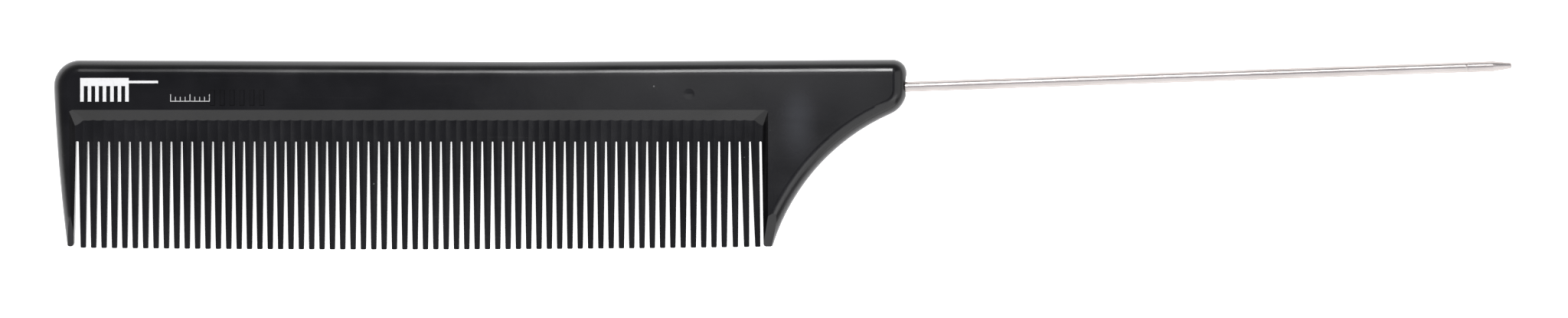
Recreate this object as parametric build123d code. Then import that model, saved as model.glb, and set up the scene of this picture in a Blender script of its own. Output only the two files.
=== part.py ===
"""Rat tail comb: one moulding with a fine tooth row, a steel wire tail set in its end, and two prints.

Millimetres. The comb lies flat: +X runs along the spine towards the tip of the tail, +Y from the tooth
tips towards the spine, and +Z is up, out of the printed face. The origin is the middle of the outer box
in X and Y, on the face that the comb lies on.

The shapes are first drawn with x counted from the comb's blunt end, y from the tooth tips and z from the
middle of the thickness. The last step moves them all to the origin.
"""

import os
from math import cos, radians, sin, tan

from build123d import *

# The moulding's outline
BODY_LENGTH = 134.0
SPINE_THICKNESS = 4.8
EDGE_ROUND = 2.3
TOP_EDGE = ((-0.10, 29.74), (75.0, 29.47), (BODY_LENGTH, 29.83))
GUARD_EDGE = ((2.63, -3.0), (0.78, 14.0), TOP_EDGE[0])
HEEL_EDGE = ((BODY_LENGTH, 22.28), (119.15, 12.0), (112.05, -3.0))
BLUNT_CORNER = 4.1
TAIL_CORNER = 2.15
NOSE_ROUND = 4.2

# The tooth row
TOOTH_COUNT = 66
FIRST_TOOTH_X = 4.70
FIRST_PITCH = 1.6336
PITCH_CLOSING = 0.00017
GAP_TOP_Y = 16.85
GAP_TOP_ROUND = 0.35
TOOTH_ROOT_WIDTH = 1.37
TOOTH_TIP_WIDTH = 0.85
TOOTH_TIP_CORNER = 0.18
TIP_LINE = (0.28, 0.02, 0.42)
LAST_TEETH_LEAN = (0.5, 1.0, 1.5)
GUARD_WALL = (3.59, 3.31)
HEEL_WALL = (111.19, 111.50)
GUARD_TIP_CENTRE = (2.68, 1.09)
GUARD_TIP_RADIUS = 0.6
HEEL_TIP_Y = 0.48
HEEL_TIP_CORNER = 0.45
HEEL_TIP_RIGHT = ((112.56, HEEL_TIP_Y), (112.93, 0.62), (113.15, 0.94))

# The sunk bed that the teeth grow from, with a shallow flute along every gap
BED_TOP_Y = 21.9
BED_LEFT_X = 2.65
BED_RIGHT_X = 112.2
BED_DEPTH = 1.15
SHOULDER_RUN = 1.55
SIDE_WALL_RUN = 0.75
CORNER_AT_FACE = 0.45
CORNER_AT_BED = 1.5
CORNER_RATIO = 0.5
FLUTE_DEPTH = 0.08
BED_DRAFT = 1.66
BED_CUT_DEPTH = 2.1
BED_CUT_RAISE = 0.3

# Tapers towards the tips
TAPER_REACH = 12.0
TOOTH_TAPER_Y = 6.5
TOOTH_TAPER = 3.1
GUARD_TAPER_POINT = (2.5, 6.3)
GUARD_TAPER = 15.0
GUARD_TAPER_WIDTH = 6.0
HEEL_TAPER_POINT = (112.3, 5.3)
HEEL_TAPER_TURN = 38.0
HEEL_TAPER = 20.0
HEEL_TAPER_WIDTH = 14.0

# The wire tail, measured from where it leaves the moulding
WIRE_DIAMETER = 1.6
WIRE_ANGLE = 2.0
WIRE_EXIT_Y = 25.55
WIRE_FREE_LENGTH = 95.0
WIRE_EMBEDDED = 24.0
WIRE_TIP_TAPER = 2.9
WIRE_TIP_DIAMETER = 0.9
WIRE_TIP_ROUND = 0.25
WITNESS_FROM_TIP = 7.2
WITNESS_WIDTH = 0.4
WITNESS_DEPTH = 0.04
WIRE_FLAT_FROM = 0.38
WIRE_FLAT_SIZE = (2.0, 1.1)
WIRE_FLAT_ROUND = 0.5
EXIT_DIMPLE_RADIUS = 1.9
EXIT_DIMPLE_DEPTH = 0.45

# Marks on the upper face
GATE_MARK = (99.8, 24.4)
GATE_MARK_RADIUS = 0.85
GATE_MARK_DEPTH = 0.05
MOULD_BAR_FIRST_X = 25.1
MOULD_BAR_PITCH = 1.55
MOULD_BAR_COUNT = 6
MOULD_BAR_SIZE = (0.6, 2.3)
MOULD_BAR_Y = 23.8
MOULD_BAR_DEPTH = 0.15
MOULD_BAR_DRAFT = 30.0
INK_THICKNESS = 0.03
EMBLEM_CORNER = (4.4, 23.2)
EMBLEM_SPINE = (7.6, 1.25)
EMBLEM_HEIGHT = 3.7
EMBLEM_TEETH = 7
EMBLEM_TOOTH_WIDTH = 0.55
EMBLEM_TAIL = (4.6, 0.4)
SCALE_CORNER = (18.5, 23.2)
SCALE_LINE = (6.2, 0.12)
SCALE_TICKS = 9
SCALE_TICK_SIZE = (0.12, 0.75)
SCALE_LONG_TICK = 1.15

HALF = SPINE_THICKNESS / 2
FLOOR_HALF = HALF - BED_DEPTH
BELOW_TIPS = -4.0


def box_at(corner, size):
    """A rectangle from its lower left corner."""
    return Pos(*corner) * Rectangle(*size, align=Align.MIN)


def both_faces(cutter):
    """The same cutter on the upper and the lower face."""
    return [cutter, mirror(cutter, about=Plane.XY)]


def bowl_radius(rim_radius, depth):
    """The radius of the sphere that leaves a bowl of this rim and depth."""
    return (rim_radius**2 + depth**2) / (2 * depth)


def at_exit(shape):
    """From the wire's own X axis to where it leaves the moulding."""
    return Pos(BODY_LENGTH, WIRE_EXIT_Y, 0) * Rot(0, 0, WIRE_ANGLE) * shape


def falling_block(point, half_thickness, heading, angle, size):
    """A block on a plane that falls away at an angle, from a point onwards along a heading in plan."""
    ahead = Vector(cos(radians(heading)), sin(radians(heading)), 0)
    up = Vector(0, 0, cos(radians(angle))) + ahead * sin(radians(angle))
    across = ahead.cross(Vector(0, 0, 1))
    plane = Plane(origin=(*point, half_thickness), x_dir=across, z_dir=up)
    return plane * Box(*size, SPINE_THICKNESS, align=(Align.CENTER, Align.MIN, Align.MIN))


# The moulding

def outline():
    """The spine, the guard and the heel, carried straight on below the tips."""
    corners = (
        (TOP_EDGE[0], BLUNT_CORNER),
        (TOP_EDGE[2], TAIL_CORNER),
        (HEEL_EDGE[0], NOSE_ROUND),
    )
    face = make_face(
        [
            ThreePointArc(*GUARD_EDGE),
            *Polyline(*TOP_EDGE).edges(),
            Line(TOP_EDGE[2], HEEL_EDGE[0]),
            ThreePointArc(*HEEL_EDGE),
            Line(HEEL_EDGE[2], GUARD_EDGE[0]),
        ]
    )
    for point, radius in corners:
        face = fillet(face.vertices().sort_by_distance((*point, 0))[0], radius)
    return face


def spine_plate():
    """The full thickness with its rounded outer edge, before the tooth bed is sunk into it."""
    plate = extrude(outline(), HALF, both=True)
    rims = [e for e in plate.edges() if abs(abs(e.center().Z) - HALF) < 0.01 and e.center().Y > 0]
    return fillet(rims, EDGE_ROUND)


def tooth_centre(index):
    """The pitch closes up very slightly from the guard to the heel."""
    return FIRST_TOOTH_X + index * (FIRST_PITCH - PITCH_CLOSING * index)


def tip_y(index):
    """The tips lie on a shallow bow: the first tooth, the middle and the last tooth."""
    t = index / (TOOTH_COUNT - 1)
    first, middle, last = TIP_LINE
    return first * (1 - t) * (1 - 2 * t) + 4 * middle * t * (1 - t) + last * t * (2 * t - 1)


def wall_x(index, side, y):
    """Where a tooth's left (-1) or right (+1) wall is at a height; the guard and heel stand at the ends."""
    fall = (GAP_TOP_Y - y) / GAP_TOP_Y
    if index < 0:
        return GUARD_WALL[0] + (GUARD_WALL[1] - GUARD_WALL[0]) * fall
    if index >= TOOTH_COUNT:
        return HEEL_WALL[0] + (HEEL_WALL[1] - HEEL_WALL[0]) * fall
    from_last = index - (TOOTH_COUNT - len(LAST_TEETH_LEAN))
    lean = LAST_TEETH_LEAN[from_last] if from_last >= 0 else 0.0
    width = TOOTH_ROOT_WIDTH + (TOOTH_TIP_WIDTH - TOOTH_ROOT_WIDTH) * fall
    return tooth_centre(index) + tan(radians(lean)) * (GAP_TOP_Y - y) + side * width / 2


def gap_top(index):
    """The rounded closed end of the gap to the left of a tooth."""
    left = (wall_x(index - 1, 1, GAP_TOP_Y), GAP_TOP_Y)
    right = (wall_x(index, -1, GAP_TOP_Y), GAP_TOP_Y)
    rise = GAP_TOP_ROUND * (right[0] - left[0])
    return ThreePointArc(left, ((left[0] + right[0]) / 2, GAP_TOP_Y + rise), right)


def rounded_corner(start, corner, end):
    """A quarter round that touches two walls, one leading into a corner and one out of it."""
    cut = 1 - cos(radians(45))
    middle = [c + (a + b - 2 * c) * cut for a, b, c in zip(start, end, corner)]
    return ThreePointArc(start, tuple(middle), end)


def tooth_tip(index):
    """Down the left wall of a tooth, round its flat tip, and up its right wall."""
    low = tip_y(index)
    high = low + TOOTH_TIP_CORNER
    left = wall_x(index, -1, low)
    right = wall_x(index, 1, low)
    start = (wall_x(index, -1, high), high)
    end = (wall_x(index, 1, high), high)
    flat = ((left + TOOTH_TIP_CORNER, low), (right - TOOTH_TIP_CORNER, low))
    return [
        Line((wall_x(index, -1, GAP_TOP_Y), GAP_TOP_Y), start),
        rounded_corner(start, (left, low), flat[0]),
        Line(*flat),
        rounded_corner(flat[1], (right, low), end),
        Line(end, (wall_x(index, 1, GAP_TOP_Y), GAP_TOP_Y)),
    ]


def guard_tip():
    """Round the guard's tip and up its inner wall to the first gap."""
    x, y = GUARD_TIP_CENTRE
    radius = GUARD_TIP_RADIUS
    inner = (x + radius, y)
    return [
        Line((-1, y), (x - radius, y)),
        ThreePointArc((x - radius, y), (x, y - radius), inner),
        Line(inner, (GUARD_WALL[0], GAP_TOP_Y)),
    ]


def heel_tip():
    """Down the heel's inner wall from the last gap and round its tip, out to the concave edge."""
    high = HEEL_TIP_Y + HEEL_TIP_CORNER
    inner = wall_x(TOOTH_COUNT, -1, high)
    flat = (inner + HEEL_TIP_CORNER, HEEL_TIP_Y)
    outer = HEEL_TIP_RIGHT[2]
    return [
        Line((HEEL_WALL[0], GAP_TOP_Y), (inner, high)),
        rounded_corner((inner, high), (inner, HEEL_TIP_Y), flat),
        Line(flat, HEEL_TIP_RIGHT[0]),
        ThreePointArc(*HEEL_TIP_RIGHT),
        Line(outer, (HEEL_EDGE[0][0], outer[1])),
    ]


def tooth_row_cutter():
    """Everything below the tips and between the teeth, as one prism."""
    edges = guard_tip()
    for index in range(TOOTH_COUNT):
        edges.append(gap_top(index))
        edges += tooth_tip(index)
    edges.append(gap_top(TOOTH_COUNT))
    edges += heel_tip()
    right = (HEEL_EDGE[0][0], HEEL_TIP_RIGHT[2][1])
    left = (-1, GUARD_TIP_CENTRE[1])
    edges += Polyline(right, (right[0], BELOW_TIPS), (left[0], BELOW_TIPS), left).edges()
    return extrude(make_face(edges), SPINE_THICKNESS, both=True)


def bed_section(depth):
    """The bed's outline at a depth below the face: sloping shoulder, side walls and filled corners."""
    share = depth / BED_DEPTH
    top = BED_TOP_Y - SHOULDER_RUN * share
    left = BED_LEFT_X + SIDE_WALL_RUN * share
    right = BED_RIGHT_X - SIDE_WALL_RUN * share
    run = CORNER_AT_FACE + (CORNER_AT_BED - CORNER_AT_FACE) * share
    drop = run * CORNER_RATIO
    points = [
        (left, BELOW_TIPS),
        (left, top - drop),
        (left + run, top),
        (right - run, top),
        (right, top - drop),
        (right, BELOW_TIPS),
    ]
    return Pos(0, 0, HALF - depth) * make_face(Polyline(*points, close=True))


def fluted_block():
    """The room above the bed's floor: a ridge along each tooth and a valley along each gap."""
    start_y = BED_TOP_Y + 3.0
    floor_y = BED_TOP_Y - SHOULDER_RUN
    ridge = FLOOR_HALF + (start_y - floor_y) * tan(radians(BED_DRAFT))
    ridges = [(tooth_centre(index), ridge) for index in range(-2, TOOTH_COUNT + 2)]
    edges = [
        ThreePointArc(a, ((a[0] + b[0]) / 2, ridge - FLUTE_DEPTH), b) for a, b in zip(ridges, ridges[1:])
    ]
    first, last = ridges[0], ridges[-1]
    edges += Polyline(last, (last[0], 2 * HALF), (first[0], 2 * HALF), first).edges()
    face = Plane.XZ.offset(-start_y) * make_face(edges)
    heading = Vector(0, -cos(radians(BED_DRAFT)), -sin(radians(BED_DRAFT)))
    return extrude(face, start_y - BELOW_TIPS, dir=heading)


def bed_cutter():
    walls = loft([bed_section(-BED_CUT_RAISE), bed_section(BED_CUT_DEPTH)], ruled=True)
    return walls & fluted_block()


def taper_cutters():
    """The thinning of the teeth, the guard and the heel towards their tips."""
    tooth_half = FLOOR_HALF - (BED_TOP_Y - SHOULDER_RUN - TOOTH_TAPER_Y) * tan(radians(BED_DRAFT))
    row_middle = ((GUARD_WALL[0] + HEEL_WALL[0]) / 2, TOOTH_TAPER_Y)
    row_length = HEEL_WALL[0] - GUARD_WALL[0]
    return [
        falling_block(row_middle, tooth_half, -90, TOOTH_TAPER, (row_length, TAPER_REACH)),
        falling_block(GUARD_TAPER_POINT, HALF, -90, GUARD_TAPER, (GUARD_TAPER_WIDTH, TAPER_REACH)),
        falling_block(HEEL_TAPER_POINT, HALF, HEEL_TAPER_TURN - 90, HEEL_TAPER, (HEEL_TAPER_WIDTH, TAPER_REACH)),
    ]


def gate_mark():
    """The shallow round mark left where the moulding was filled."""
    ball = bowl_radius(GATE_MARK_RADIUS, GATE_MARK_DEPTH)
    return Pos(*GATE_MARK, HALF - GATE_MARK_DEPTH + ball) * Sphere(ball)


def mould_bars():
    """A row of plain shallow bars sunk into the face, with sloping walls."""
    floor = Pos(0, MOULD_BAR_Y, HALF - MOULD_BAR_DEPTH) * Rectangle(*MOULD_BAR_SIZE)
    bar = extrude(floor, 2 * MOULD_BAR_DEPTH, taper=-MOULD_BAR_DRAFT)
    return [Pos(MOULD_BAR_FIRST_X + i * MOULD_BAR_PITCH) * bar for i in range(MOULD_BAR_COUNT)]


def exit_dimple():
    """The shallow bowl where the edge draws in around the wire."""
    ball = bowl_radius(EXIT_DIMPLE_RADIUS, EXIT_DIMPLE_DEPTH)
    return at_exit(Pos(ball - EXIT_DIMPLE_DEPTH, 0, 0) * Sphere(ball))


def comb_body():
    body = spine_plate()
    body -= both_faces(bed_cutter())
    for cutter in taper_cutters():
        body -= both_faces(cutter)
    body -= tooth_row_cutter()
    body -= [gate_mark(), exit_dimple(), *mould_bars()]
    return body - wire_tail()


# The wire

def wire_tail():
    """Straight round wire with a blunt tapered tip, rolled flat where the moulding holds it."""
    radius = WIRE_DIAMETER / 2
    tip_radius = WIRE_TIP_DIAMETER / 2
    taper_start = WIRE_FREE_LENGTH - WIRE_TIP_TAPER
    mark = WIRE_FREE_LENGTH - WITNESS_FROM_TIP
    profile = Polyline(
        (-WIRE_FLAT_FROM, 0),
        (-WIRE_FLAT_FROM, radius),
        (mark, radius),
        (mark + WITNESS_WIDTH / 2, radius - WITNESS_DEPTH),
        (mark + WITNESS_WIDTH, radius),
        (taper_start, radius),
        (WIRE_FREE_LENGTH, tip_radius),
        (WIRE_FREE_LENGTH, 0),
        close=True,
    )
    face = make_face(profile)
    tip = face.vertices().sort_by_distance((WIRE_FREE_LENGTH, tip_radius, 0))[0]
    wire = revolve(fillet(tip, WIRE_TIP_ROUND), Axis.X)
    flat = Plane.YZ.offset(-WIRE_EMBEDDED) * RectangleRounded(*WIRE_FLAT_SIZE, WIRE_FLAT_ROUND)
    wire += extrude(flat, WIRE_EMBEDDED - WIRE_FLAT_FROM)
    return at_exit(wire)


# The prints

def printed(sketch):
    return Pos(0, 0, HALF) * extrude(sketch, INK_THICKNESS)


def printed_emblem():
    """A plain pictogram of a tail comb."""
    x, y = EMBLEM_CORNER
    spine_length, spine_height = EMBLEM_SPINE
    spine_y = y + EMBLEM_HEIGHT - spine_height
    emblem = box_at((x, spine_y), EMBLEM_SPINE)
    step = (spine_length - EMBLEM_TOOTH_WIDTH) / (EMBLEM_TEETH - 1)
    for index in range(EMBLEM_TEETH):
        emblem += box_at((x + index * step, y), (EMBLEM_TOOTH_WIDTH, EMBLEM_HEIGHT))
    tail_y = spine_y + (spine_height - EMBLEM_TAIL[1]) / 2
    emblem += box_at((x + spine_length, tail_y), EMBLEM_TAIL)
    return printed(emblem)


def printed_scale():
    """A fine line with upright ticks, the middle one and the end ones longer."""
    x, y = SCALE_CORNER
    scale = box_at((x, y), SCALE_LINE)
    step = (SCALE_LINE[0] - SCALE_TICK_SIZE[0]) / (SCALE_TICKS - 1)
    for index in range(SCALE_TICKS):
        is_long = index % (SCALE_TICKS // 2) == 0
        height = SCALE_LONG_TICK if is_long else SCALE_TICK_SIZE[1]
        scale += box_at((x + index * step, y), (SCALE_TICK_SIZE[0], height))
    return printed(scale)


def main():
    nodes = {
        "comb_body": comb_body(),
        "tail_pin": wire_tail(),
        "printed_emblem": printed_emblem(),
        "printed_scale": printed_scale(),
    }
    box = Compound(list(nodes.values())).bounding_box()
    to_origin = Pos(-(box.min.X + box.max.X) / 2, -(box.min.Y + box.max.Y) / 2, -box.min.Z)
    os.makedirs("parts", exist_ok=True)
    for name, node in nodes.items():
        export_step(to_origin * node, f"parts/{name}.step")


main()
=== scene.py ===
"""Rat tail comb on a pale light table: materials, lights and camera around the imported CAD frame.

Metres, in the CAD's own frame: the comb lies on z = 0 with its spine along X and its teeth towards -Y.
"""

import math

import bpy
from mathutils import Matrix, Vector


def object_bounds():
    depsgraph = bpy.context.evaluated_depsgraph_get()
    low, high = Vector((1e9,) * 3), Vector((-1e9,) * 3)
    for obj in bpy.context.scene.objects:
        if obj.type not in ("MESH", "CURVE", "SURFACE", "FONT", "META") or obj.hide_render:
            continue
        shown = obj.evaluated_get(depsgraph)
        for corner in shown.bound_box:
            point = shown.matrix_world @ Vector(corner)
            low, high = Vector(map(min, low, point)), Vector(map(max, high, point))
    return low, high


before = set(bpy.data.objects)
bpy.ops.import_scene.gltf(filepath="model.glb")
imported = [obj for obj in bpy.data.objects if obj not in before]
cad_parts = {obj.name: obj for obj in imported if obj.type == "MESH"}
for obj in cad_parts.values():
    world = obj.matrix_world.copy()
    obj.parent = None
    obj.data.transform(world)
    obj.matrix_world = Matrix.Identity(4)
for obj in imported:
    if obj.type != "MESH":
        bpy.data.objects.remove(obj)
cad_low, cad_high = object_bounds()
cad_centre = (cad_low + cad_high) / 2
cad_length = cad_high.x - cad_low.x

# The camera looks straight down, from far enough away that the comb hardly shows perspective
CAMERA_DISTANCE = 1.2
VIEW_LENGTH = cad_length * 1.0737
VIEW_RIGHT = 0.0002
VIEW_DOWN = -0.0007
SENSOR = 36.0
CLIP = (0.01, 20.0)

FLOOR_SIZE = 6.0
FLOOR_DROP = 0.00002
FLOOR_GLOW = 1.0
FLOOR_COLOURS = ((0.93, 0.93, 0.93), (0.96, 0.96, 0.96))

# Colours come as the darker and the lighter end of an uneven surface
PLASTIC_COLOURS = ((0.0018, 0.0017, 0.0020), (0.0080, 0.0077, 0.0090))
WIRE_COLOURS = ((0.49, 0.45, 0.435), (0.56, 0.52, 0.505))
WIRE_EDGE_COLOUR = (0.35, 0.33, 0.32)
WHITE_INK_COLOURS = ((0.86, 0.86, 0.86), (0.95, 0.95, 0.95))
GREY_INK_COLOURS = ((0.35, 0.35, 0.35), (0.62, 0.62, 0.62))
INK_ROUGHNESS = (0.5, 0.6)
DUST_COLOUR = (0.16, 0.16, 0.16)

# Fine lines run along the wire, which is turned in plan from the spine's direction
WIRE_TURN = math.radians(2)
WIRE_LINES = (2, 9000, 9000)

# A painted sheen on the heel's upper face, a lighter patch in the colour that stands in for a reflection:
# its middle, its reciprocal radii and its colour
PAINTED_SHEEN_CENTRE = (0.0024, 0.0048, 0.0048)
PAINTED_SHEEN_SCALE = (260, 130, 1000)
PAINTED_SHEEN_COLOUR = (0.046, 0.048, 0.056)

# A strip of lamps beyond the spine, each brighter than the last towards the tail
STRIP_LAMPS = 10
STRIP_CENTRE_X = -0.08
STRIP_LENGTH = 0.36
STRIP_WIDTH = 0.34
STRIP_AWAY = 1.1
STRIP_LEAN = math.radians(36)
STRIP_GLOW = (0.8, 34.0)

# The room's radiance against the sine of the elevation: a pale horizon under a dim ceiling
ROOM_GLOW = [
    (0.0, 0.9),
    (0.15, 0.8),
    (0.35, 0.3),
    (0.8, (0.19, 0.195, 0.225)),
    (1.0, (0.235, 0.24, 0.28)),
]

# Two banks of panels in front of the teeth, as a name, a side and a radiance
PANEL_BANKS = (("blunt", -1, 0.85), ("tail", 1, 1.3))

# The panels of a bank, as a name, a place on the tail's side, a size and a lean
PANELS = (
    ("low", (0.75, -1.31, 0.48), (1.5, 0.55), math.radians(70)),
    ("high", (0.75, -0.875, 1.22), (1.5, 1.21), math.radians(35.6)),
)

# A panel over the tail's side
TAIL_PANEL_AWAY = 1.5
TAIL_PANEL_LEAN = math.radians(45)
TAIL_PANEL_SIZE = (1.2, 1.4)
TAIL_PANEL_GLOW = 0.85

# A small panel mirrored in the flat face over the heel and the spine beside it
HEEL_PANEL_PLACE = (-0.0075, 0.104, 0.22)
HEEL_PANEL_SIZE = (0.075, 0.2)
HEEL_PANEL_GLOW = 0.92


# Node helpers

def new_material(name):
    material = bpy.data.materials.new(name)
    material.use_nodes = True
    tree = material.node_tree
    return material, tree, tree.nodes["Principled BSDF"]


def node(tree, kind, **values):
    """A shader node with its settings, and with its input sockets set by name."""
    made = tree.nodes.new(kind)
    for key, value in values.items():
        if hasattr(made, key):
            setattr(made, key, value)
        else:
            made.inputs[key.replace("_", " ")].default_value = value
    return made


def link(tree, source, target):
    tree.links.new(source, target)


def ramp(tree, source, stops):
    """A colour ramp from (position, grey or colour) stops."""
    made = node(tree, "ShaderNodeValToRGB")
    elements = made.color_ramp.elements
    while len(elements) < len(stops):
        elements.new(0.5)
    for element, (position, value) in zip(elements, stops):
        element.position = position
        element.color = (*value, 1) if isinstance(value, tuple) else (value, value, value, 1)
    link(tree, source, made.inputs["Fac"])
    return made.outputs["Color"]


def maths(tree, operation, *inputs):
    made = node(tree, "ShaderNodeMath", operation=operation)
    for socket, value in zip(made.inputs, inputs):
        if isinstance(value, (int, float)):
            socket.default_value = value
        else:
            link(tree, value, socket)
    return made.outputs[0]


def mix(tree, factor, a, b):
    """A blend from colour a to colour b; the node's colour sockets come after its number and vector ones."""
    made = node(tree, "ShaderNodeMix", data_type="RGBA")
    link(tree, factor, made.inputs["Factor"])
    for socket, value in ((made.inputs[6], a), (made.inputs[7], b)):
        if isinstance(value, tuple):
            socket.default_value = (*value, 1)
        else:
            link(tree, value, socket)
    return made.outputs[2]


def coordinates(tree, scale=(1, 1, 1), centre=(0, 0, 0), turn=0.0):
    """Object coordinates about a centre, turned in plan and then scaled along each axis."""
    place = node(tree, "ShaderNodeTexCoord")
    mapping = node(tree, "ShaderNodeMapping", vector_type="TEXTURE")
    mapping.inputs["Location"].default_value = centre
    mapping.inputs["Rotation"].default_value = (0, 0, turn)
    mapping.inputs["Scale"].default_value = [1 / value for value in scale]
    link(tree, place.outputs["Object"], mapping.inputs["Vector"])
    return mapping.outputs["Vector"]


def noise(tree, vector, scale, detail=3.0, roughness=0.5):
    made = node(tree, "ShaderNodeTexNoise", Scale=scale, Detail=detail, Roughness=roughness)
    link(tree, vector, made.inputs["Vector"])
    return made.outputs["Fac"]


def between(tree, source, start, end, values):
    """From the first value to the second while the source goes from start to end."""
    return ramp(tree, source, [(start, values[0]), (end, values[1])])


def bump(tree, height, distance, strength=1.0, under=None):
    """A height field as a normal, on top of the one under it."""
    made = node(tree, "ShaderNodeBump", Distance=distance, Strength=strength)
    link(tree, height, made.inputs["Height"])
    if under:
        link(tree, under, made.inputs["Normal"])
    return made.outputs["Normal"]


# Materials

def dust(tree):
    """Sparse specks: 1 on a few tiny dots and 0 elsewhere."""
    cells = node(tree, "ShaderNodeTexVoronoi", Scale=260.0)
    link(tree, coordinates(tree), cells.inputs["Vector"])
    dots = ramp(tree, cells.outputs["Distance"], [(0.03, 1.0), (0.045, 0.0)])
    few = ramp(tree, cells.outputs["Color"], [(0.68, 0.0), (0.70, 1.0)])
    return maths(tree, "MULTIPLY", dots, few)


def painted_sheen(tree):
    """A painted sheen on the heel: a lighter patch that stands in for a reflection, fading out all round."""
    place = coordinates(tree, PAINTED_SHEEN_SCALE, PAINTED_SHEEN_CENTRE)
    ball = node(tree, "ShaderNodeTexGradient", gradient_type="SPHERICAL")
    link(tree, place, ball.inputs["Vector"])
    soft = node(tree, "ShaderNodeMapRange", interpolation_type="SMOOTHSTEP")
    link(tree, ball.outputs["Fac"], soft.inputs["Value"])
    return soft.outputs["Result"]


def moulded_plastic():
    """Black plastic off a polished mould: slightly wavy and cloudy gloss, fine scratches, dust and a painted
    sheen on the heel.
    """
    material, tree, shader = new_material("moulded_black_plastic")
    plain = coordinates(tree)
    waves = noise(tree, plain, 75, 1.0)
    clouds = noise(tree, plain, 90, 4.0, 0.6)
    painted_sheen_streaks = noise(tree, coordinates(tree, (12, 60, 60)), 3.0, 3.0)
    scratches = noise(tree, coordinates(tree, (60, 2200, 2200)), 1.0, 2.0)
    grain = noise(tree, plain, 1800, 2.0)

    plastic = between(tree, clouds, 0.32, 0.68, PLASTIC_COLOURS)
    # Painted sheen: a lighter, streaky patch mixed into the colour on the heel, standing in for a reflection
    plastic_with_painted_sheen = mix(tree, maths(tree, "MULTIPLY", painted_sheen(tree), painted_sheen_streaks), plastic, PAINTED_SHEEN_COLOUR)
    link(tree, mix(tree, dust(tree), plastic_with_painted_sheen, DUST_COLOUR), shader.inputs["Base Color"])
    gloss = between(tree, clouds, 0.3, 0.75, (0.17, 0.25))
    scratched = between(tree, scratches, 0.62, 0.75, (0.0, 1.0))
    link(tree, maths(tree, "MULTIPLY_ADD", scratched, 0.05, gloss), shader.inputs["Roughness"])
    height = maths(tree, "MULTIPLY_ADD", grain, 0.35, clouds)
    uneven = bump(tree, waves, 0.0002)
    link(tree, bump(tree, height, 0.00002, 0.5, uneven), shader.inputs["Normal"])
    shader.inputs["IOR"].default_value = 1.5
    return material


def drawn_wire():
    """Stainless wire with fine lines drawn along it."""
    material, tree, shader = new_material("drawn_stainless_wire")
    lines = noise(tree, coordinates(tree, WIRE_LINES, turn=WIRE_TURN), 1.0, 1.0)
    wear = noise(tree, coordinates(tree), 160, 3.0)
    link(tree, between(tree, wear, 0.3, 0.7, WIRE_COLOURS), shader.inputs["Base Color"])
    shader.inputs["Metallic"].default_value = 1.0
    shader.inputs["Specular Tint"].default_value = (*WIRE_EDGE_COLOUR, 1)
    link(tree, between(tree, lines, 0.3, 0.7, (0.26, 0.38)), shader.inputs["Roughness"])
    link(tree, bump(tree, lines, 0.000002, 0.2), shader.inputs["Normal"])
    return material


def ink(name, colours):
    """Pad-printed ink: slightly uneven cover, less glossy than the plastic beside it."""
    material, tree, shader = new_material(name)
    cover = noise(tree, coordinates(tree), 1500, 3.0)
    link(tree, between(tree, cover, 0.25, 0.45, colours), shader.inputs["Base Color"])
    link(tree, between(tree, cover, 0.3, 0.7, INK_ROUGHNESS), shader.inputs["Roughness"])
    link(tree, bump(tree, cover, 0.000006, 0.5), shader.inputs["Normal"])
    return material


def table_surface():
    """A white light table, faintly uneven."""
    material, tree, shader = new_material("light_table")
    shade = noise(tree, coordinates(tree), 8, 3.0)
    link(tree, between(tree, shade, 0.3, 0.7, FLOOR_COLOURS), shader.inputs["Base Color"])
    shader.inputs["Roughness"].default_value = 0.9
    shader.inputs["Emission Color"].default_value = (1, 1, 1, 1)
    shader.inputs["Emission Strength"].default_value = FLOOR_GLOW
    return material


def dress(node_name, material):
    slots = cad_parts[node_name].data.materials
    slots.clear()
    slots.append(material)


# Stage

def make_floor():
    bpy.ops.mesh.primitive_plane_add(size=FLOOR_SIZE, location=(0, 0, -FLOOR_DROP))
    floor = bpy.context.object
    floor.name = "light_table_top"
    floor.data.materials.append(table_surface())


def lamp(name, place, span, glow):
    """A rectangular lamp facing straight down, with its size and its radiance."""
    data = bpy.data.lights.new(name, "AREA")
    data.shape = "RECTANGLE"
    data.size, data.size_y = span
    data.energy = glow * math.pi * span[0] * span[1]
    made = bpy.data.objects.new(name, data)
    made.location = place
    made.visible_camera = False
    bpy.context.collection.objects.link(made)
    return made


def from_overhead(away, lean_x, lean_y):
    """A place above the comb, leaning from overhead by angles towards +X and +Y."""
    return cad_centre + Vector((math.tan(lean_x), math.tan(lean_y), 1.0)).normalized() * away


def aimed_lamp(name, place, span, glow):
    """A lamp turned to face the middle of the comb."""
    made = lamp(name, place, span, glow)
    made.rotation_euler = (cad_centre - place).to_track_quat("-Z", "Y").to_euler()


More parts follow.
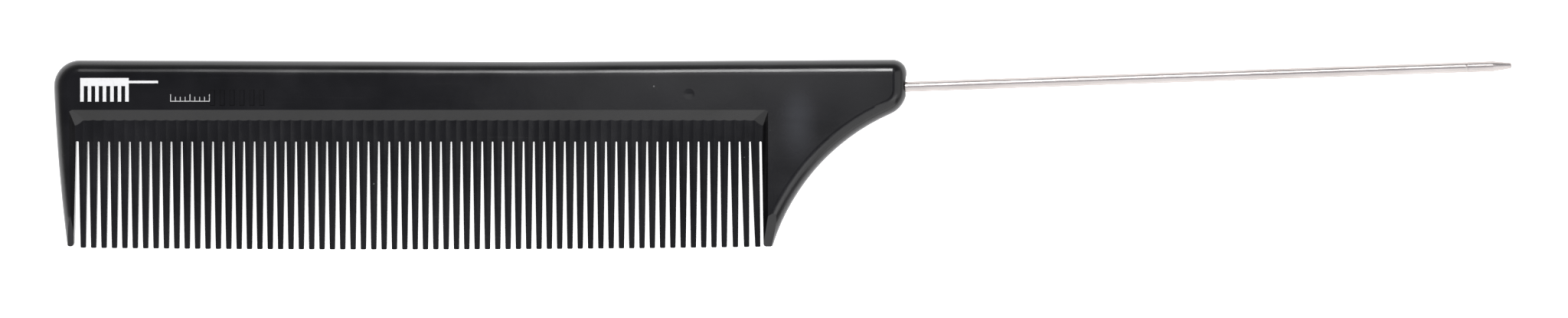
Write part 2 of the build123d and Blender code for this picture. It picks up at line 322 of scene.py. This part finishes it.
def make_strip():
    """A row of lamps beyond the spine that grows brighter towards the tail."""
    span = (STRIP_LENGTH / STRIP_LAMPS, STRIP_WIDTH)
    for index in range(STRIP_LAMPS):
        share = index / (STRIP_LAMPS - 1)
        glow = STRIP_GLOW[0] * (STRIP_GLOW[1] / STRIP_GLOW[0]) ** share
        x = STRIP_CENTRE_X + STRIP_LENGTH * ((index + 0.5) / STRIP_LAMPS - 0.5)
        place = (x, STRIP_AWAY * math.sin(STRIP_LEAN), STRIP_AWAY * math.cos(STRIP_LEAN))
        lamp(f"spine_strip_{index}", place, span, glow).rotation_euler = (-STRIP_LEAN, 0, 0)


def make_room():
    """A dim ceiling over a pale horizon."""
    world = bpy.data.worlds.new("soft_room")
    bpy.context.scene.world = world
    world.use_nodes = True
    tree = world.node_tree
    place = node(tree, "ShaderNodeTexCoord")
    split = node(tree, "ShaderNodeSeparateXYZ")
    link(tree, place.outputs["Generated"], split.inputs["Vector"])
    link(tree, ramp(tree, split.outputs["Z"], ROOM_GLOW), tree.nodes["Background"].inputs["Color"])


def make_lights():
    make_strip()
    for bank, side, glow in PANEL_BANKS:
        for level, (x, y, z), span, lean in PANELS:
            lamp(f"{level}_panel_{bank}", (side * x, y, z), span, glow).rotation_euler = (lean, 0, 0)
    tail_place = from_overhead(TAIL_PANEL_AWAY, TAIL_PANEL_LEAN, 0)
    aimed_lamp("tail_side_panel", tail_place, TAIL_PANEL_SIZE, TAIL_PANEL_GLOW)
    lamp("heel_panel", HEEL_PANEL_PLACE, HEEL_PANEL_SIZE, HEEL_PANEL_GLOW)
    make_room()


def make_camera():
    data = bpy.data.cameras.new("overhead_camera")
    data.sensor_width = SENSOR
    data.lens = SENSOR * (CAMERA_DISTANCE - cad_high.z) / VIEW_LENGTH
    data.clip_start, data.clip_end = CLIP
    camera = bpy.data.objects.new("overhead_camera", data)
    camera.location = (cad_centre.x + VIEW_RIGHT, cad_centre.y + VIEW_DOWN, CAMERA_DISTANCE)
    bpy.context.collection.objects.link(camera)
    bpy.context.scene.camera = camera


dress("comb_body", moulded_plastic())
dress("tail_pin", drawn_wire())
dress("printed_emblem", ink("white_ink", WHITE_INK_COLOURS))
dress("printed_scale", ink("grey_ink", GREY_INK_COLOURS))
make_floor()
make_lights()
make_camera()
bpy.context.scene.view_settings.view_transform = "Standard"
